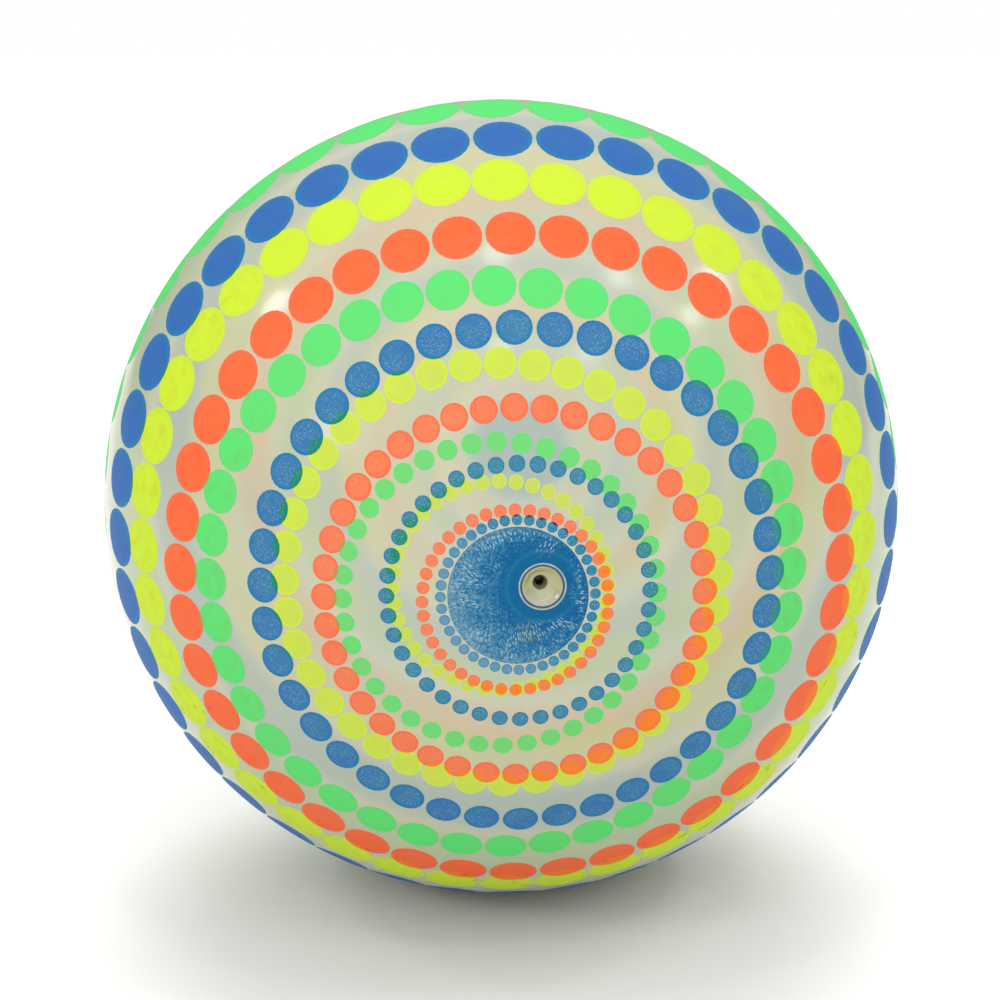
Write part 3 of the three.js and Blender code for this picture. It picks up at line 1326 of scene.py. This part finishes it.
@dataclass
class Print:
    """The ink on one half of the ball: a thin film of dots for each ink, and the blue cap.

    A dot whose half length is under widest_plain has no inset rows of faces, one under widest_once has one,
    and a longer one has two, so that it follows the ball.
    """

    side: Side
    ball_radius: float
    bead_radius: float = HOLE_RADIUS + BEAD_WIDTH
    first_height: float = 0.03 * MM
    layer_height: float = 0.02 * MM
    film: float = 0.11 * MM
    dot_sides: int = 20
    cap_sides: int = 96
    cap_rows: int = 7
    widest_plain: float = 2.5 * MM
    widest_once: float = 7 * MM

    def add_dots(self, ring: Ring, register: Register) -> None:
        """Model one dot of a ring in edit mode and copy it round the ring's pole.

        Args:
            ring: The ring.
            register: Where its mask sat.
        """
        half_width = self.ball_radius * LAYOUT.dot_width(ring)
        stretch = LAYOUT.dot_stretch(ring)
        pole = (0, 0, self.ball_radius)
        bpy.ops.mesh.select_all(action="DESELECT")
        bpy.ops.mesh.primitive_circle_add(
            vertices=self.dot_sides,
            radius=half_width,
            fill_type="NGON",
            location=pole,
        )
        longest = half_width * stretch
        insets = 0 if longest < self.widest_plain else 1 if longest < self.widest_once else 2
        for _ in range(insets):
            bpy.ops.mesh.inset(thickness=half_width / (insets + 1))
        bpy.ops.mesh.poke()
        bpy.ops.mesh.select_linked()
        bpy.ops.transform.resize(value=(stretch, 1, 1), center_override=pole)
        right, up = math.radians(ring.slip[0]), -self.side.value * math.radians(ring.slip[1])
        for axis, turn in (("Y", -math.radians(ring.angle)), ("Y", -right), ("X", up)):
            bpy.ops.transform.rotate(value=turn, orient_axis=axis, center_override=(0, 0, 0))
        slipped = register.frame(self.side).transposed() @ register.slipped(ring.slip).frame(self.side)
        copies = LAYOUT.dots_in_ring - 1
        bpy.ops.mesh.spin(
            steps=copies,
            dupli=True,
            angle=FULL_TURN * copies / LAYOUT.dots_in_ring,
            center=(0, 0, 0),
            axis=slipped.col[2],
        )

    def add_cap(self, frame: Matrix) -> None:
        """Model the cap in edit mode, open round the valve on the valve's half.

        Args:
            frame: The mask's frame.
        """
        edge = LAYOUT.cap_edge()
        radius = self.ball_radius * math.sin(edge)
        bpy.ops.mesh.select_all(action="DESELECT")
        bpy.ops.mesh.primitive_circle_add(
            vertices=self.cap_sides,
            radius=radius,
            fill_type="NOTHING" if self.side is Side.VALVE else "NGON",
            location=(0, 0, self.ball_radius * math.cos(edge)),
        )
        if self.side is Side.FAR:
            for _ in range(self.cap_rows - 1):
                bpy.ops.mesh.inset(thickness=radius / self.cap_rows)
            bpy.ops.mesh.poke()
            return
        axis = frame.transposed() @ TO_MOUTH
        hole = math.asin(self.bead_radius / self.ball_radius)
        bpy.ops.mesh.primitive_circle_add(
            vertices=self.cap_sides,
            radius=self.bead_radius,
            fill_type="NOTHING",
            location=axis * self.ball_radius * math.cos(hole),
            rotation=axis.to_track_quat("Z", "Y").to_euler(),
        )
        bpy.ops.mesh.select_all(action="SELECT")
        bpy.ops.mesh.bridge_edge_loops(number_cuts=self.cap_rows, interpolation="LINEAR")

    def build(self, ink: Ink) -> None:
        """Model and dress the film of one ink.

        Args:
            ink: The ink.
        """
        register = REGISTERS[self.side][ink]
        frame = register.frame(self.side)
        layer = list(Ink).index(ink) + list(Side).index(self.side) / len(Side)
        height = self.first_height + self.layer_height * layer
        piece = start_piece(f"{self.side.name.lower()}_side_{ink.value}_print")
        if ink is Ink.BLUE:
            self.add_cap(frame)
        bpy.ops.mesh.select_mode(type="VERT")
        for ring in LAYOUT.rings_of(ink):
            self.add_dots(ring, register)
        finish_piece(piece)
        piece.matrix_world = frame.to_4x4()
        bpy.ops.object.transform_apply(location=False, rotation=True, scale=False)
        size = self.ball_radius + height
        apply_modifier(piece, "CAST", factor=1.0, size=size, radius=0.0, use_radius_as_size=False)
        apply_modifier(piece, "SOLIDIFY", thickness=self.film, offset=-1.0)
        bpy.ops.object.shade_smooth_by_angle(angle=SMOOTH_ANGLE)
        piece.visible_diffuse = False  # so that the inks throw no colour onto the floor
        settle(piece, INKS[ink].material(self.side), BALL_BODY)


# Studio


@dataclass(frozen=True)
class Lamp:
    """A soft round lamp: its way from the ball in the camera's frame (right, up, near), size and power."""

    name: str
    way: tuple[float, float, float]
    distance: float
    size: float
    power: float


@dataclass
class Studio:
    """The camera at the photograph's angle, a white floor and soft light."""

    ball_radius: float
    azimuth: float = -5.11
    elevation: float = 11.26
    distance_in_radii: float = 6.05
    lens: float = 85.2
    sensor_width: float = 36
    shift: tuple[float, float] = (-0.0011, -0.004)
    clip: Span = (0.01, 100)
    floor_size: float = 40.0
    floor_colour: Colour = (0.85, 0.85, 0.85, 1.0)
    # Painted shadow: the paint shown near a point in front of the ball
    floor_painted_shadow: Colour = (0.9, 0.9, 0.9, 1.0)
    floor_far: Colour = (1.335, 1.335, 1.335, 1.0)
    near_reach: float = 0.066
    far_reach: float = 0.14
    painted_shadow_lead: float = 0.05
    sky_top: float = 0.94
    sky_edge: float = 0.35
    sky_heights: Span = (0.0, 0.9)
    lamps: tuple[Lamp, ...] = (
        Lamp("left_lamp", (-0.70, 0.27, 0.66), 1.4, 0.26, 1.6),
        Lamp("left_rim_lamp", (-0.76, 0.65, 0.06), 1.4, 0.16, 1.1),
        Lamp("top_lamp", (-0.02, 0.92, 0.39), 1.4, 0.12, 0.62),
        Lamp("right_top_lamp", (0.44, 0.82, 0.36), 1.4, 0.13, 0.62),
        Lamp("right_rim_lamp", (0.70, 0.71, 0.0), 1.4, 0.16, 1.0),
        Lamp("right_lamp", (0.70, 0.66, 0.27), 1.4, 0.1, 0.6),
        Lamp("middle_lamp", (0.0, 0.64, 0.77), 1.4, 0.12, 0.45),
        Lamp("right_middle_lamp", (0.36, 0.60, 0.71), 1.4, 0.12, 0.45),
        Lamp("front_fill", (0.0, 0.08, 1.0), 3.0, 2.6, 18.6),
    )

    def axes(self) -> Matrix:
        """Work out the camera's axes.

        Returns:
            Its right, up and near directions as columns.
        """
        near = toward(self.azimuth, self.elevation)
        right = toward(self.azimuth + 90, 0)
        return Matrix((right, near.cross(right), near)).transposed()

    def add_camera(self) -> None:
        """Set the camera where the photograph was taken."""
        axes = self.axes()
        data = bpy.data.cameras.new("camera")
        data.lens = self.lens
        data.sensor_width = self.sensor_width
        data.shift_x, data.shift_y = self.shift
        data.clip_start, data.clip_end = self.clip
        camera = bpy.data.objects.new("camera", data)
        bpy.context.scene.collection.objects.link(camera)
        stand = Matrix.Translation(axes.col[2] * self.distance_in_radii * self.ball_radius)
        camera.matrix_world = stand @ axes.to_4x4()
        bpy.context.scene.camera = camera

    def add_lamps(self) -> None:
        """Hang the soft lamps."""
        axes = self.axes()
        for lamp in self.lamps:
            way = (axes @ Vector(lamp.way)).normalized()
            data = bpy.data.lights.new(lamp.name, "AREA")
            data.shape = "DISK"
            data.size = lamp.size
            data.energy = lamp.power
            light = bpy.data.objects.new(lamp.name, data)
            bpy.context.scene.collection.objects.link(light)
            light.location = way * lamp.distance
            light.rotation_euler = way.to_track_quat("Z", "Y").to_euler()

    def add_floor(self) -> None:
        """Lay the floor under the ball.

        As the camera and reflections see it, its paint is darker near a point in front of the ball, a
        painted shadow, and whiter away from it.
        """
        bpy.ops.object.select_all(action="DESELECT")
        bpy.ops.mesh.primitive_plane_add(size=self.floor_size, location=(0, 0, -self.ball_radius))
        floor = bpy.context.object
        floor.name = "floor"
        material, graph = new_graph("floor")
        camera_ray = graph.node("LightPath", output="Is Camera Ray")
        glossy_ray = graph.node("LightPath", output="Is Glossy Ray")
        clear_ray = graph.node("LightPath", output="Is Transmission Ray")
        seen = camera_ray.math("MAXIMUM", glossy_ray).math("MAXIMUM", clear_ray)
        # Painted shadow: the paint is darker near a point a little in front of the ball
        shade = toward(self.azimuth, 0) * self.painted_shadow_lead
        away = graph.measure("DISTANCE", graph.place(), shade)
        shown = graph.mix(away.ramp(self.near_reach, self.far_reach), self.floor_painted_shadow, self.floor_far)
        paint = graph.node("BsdfDiffuse", None, {"Color": graph.mix(seen, self.floor_colour, shown)})
        graph.node("OutputMaterial", None, {"Surface": paint})
        floor.data.materials.append(material)

    def add_sky(self) -> None:
        """Light the room, most from above, and show it white behind the floor."""
        world = bpy.data.worlds.new("studio")
        world.use_nodes = True
        graph = Graph(world.node_tree)
        camera_ray = graph.node("LightPath", output="Is Camera Ray")
        height = graph.dot(graph.node("TexCoord", output="Generated"), UP)
        level = height.ramp(*self.sky_heights) * (self.sky_top - self.sky_edge) + self.sky_edge
        glow = graph.node("Background", None, {"Color": WHITE, "Strength": level})
        white = graph.node("Background", None, {"Color": WHITE, "Strength": 1.0})
        shown = graph.node("MixShader", None, {0: camera_ray, 1: glow, 2: white})
        graph.node("OutputWorld", None, {"Surface": shown})
        bpy.context.scene.world = world

    def build(self) -> None:
        """Set up camera, floor and light."""
        bpy.context.scene.view_settings.view_transform = "Standard"
        self.add_camera()
        self.add_floor()
        self.add_lamps()
        self.add_sky()


def main() -> None:
    """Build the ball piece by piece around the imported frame."""
    logging.basicConfig(level=logging.INFO, format="%(name)s: %(message)s")
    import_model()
    low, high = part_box("ball_skin")
    radius = (high.x - low.x) / 2
    Studio(radius).build()
    Skin(radius).build()
    Valve(radius).build()
    for side in Side:
        for ink in Ink:
            Print(side, radius).build(ink)


if __name__ == "__main__":
    main()
